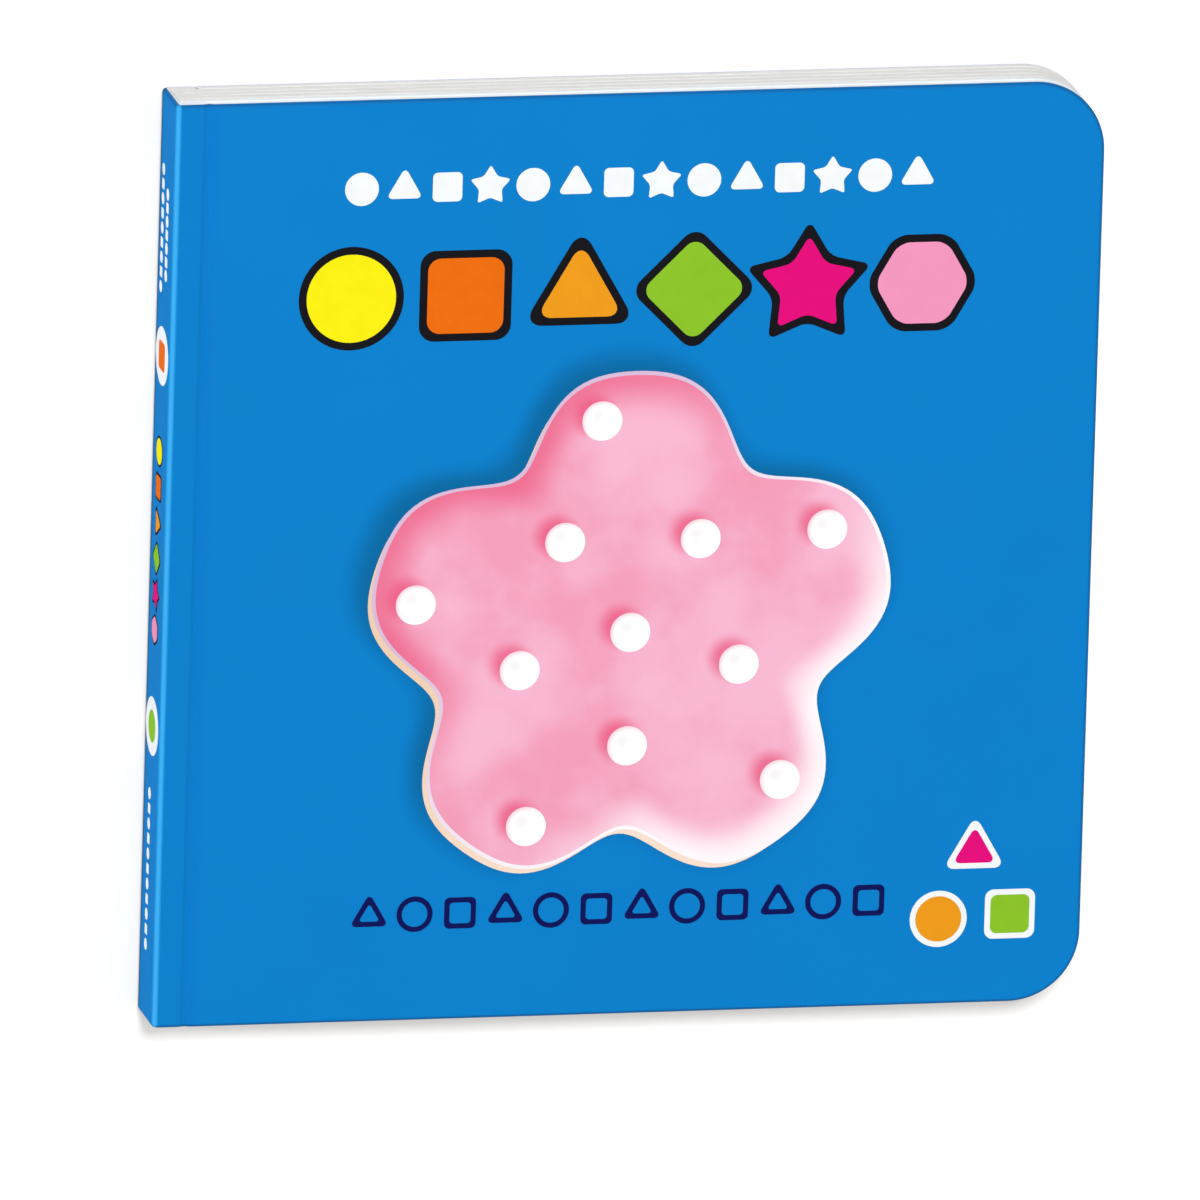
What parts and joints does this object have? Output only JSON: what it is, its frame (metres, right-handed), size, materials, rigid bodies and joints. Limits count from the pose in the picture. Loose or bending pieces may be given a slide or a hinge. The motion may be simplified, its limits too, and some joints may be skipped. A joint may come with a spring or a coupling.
{
  "type": "board book",
  "caption": "Square board book with round fore-edge corners, a wrap-round card cover with creased hinges, and a block of thick pasted leaves.",
  "frame": {"origin": "middle of the face the book lies on, at the outer face of the back cover", "axes": "+X from the spine to the fore-edge, +Y from tail to head, +Z from the back cover to the front cover"},
  "size_m": [0.149, 0.15, 0.012],
  "materials": {
    "cover_card": "satin",
    "page_board": "matte"
  },
  "bodies": {
    "block": {"spine": "cover_card", "page_block": "page_board"},
    "front_panel": {"front_cover": "cover_card"},
    "back_panel": {"back_cover": "cover_card"}
  },
  "joints": [
    {"name": "front_cover_hinge", "type": "hinge", "parent": "block", "child": "front_panel", "pos_m": [-0.0693, 0, 0.012], "axis": [0, -1, 0], "range_deg": [0, 180]},
    {"name": "back_cover_hinge", "type": "hinge", "parent": "block", "child": "back_panel", "pos_m": [-0.0693, 0, 0], "axis": [0, 1, 0], "range_deg": [0, 180]}
  ]
}
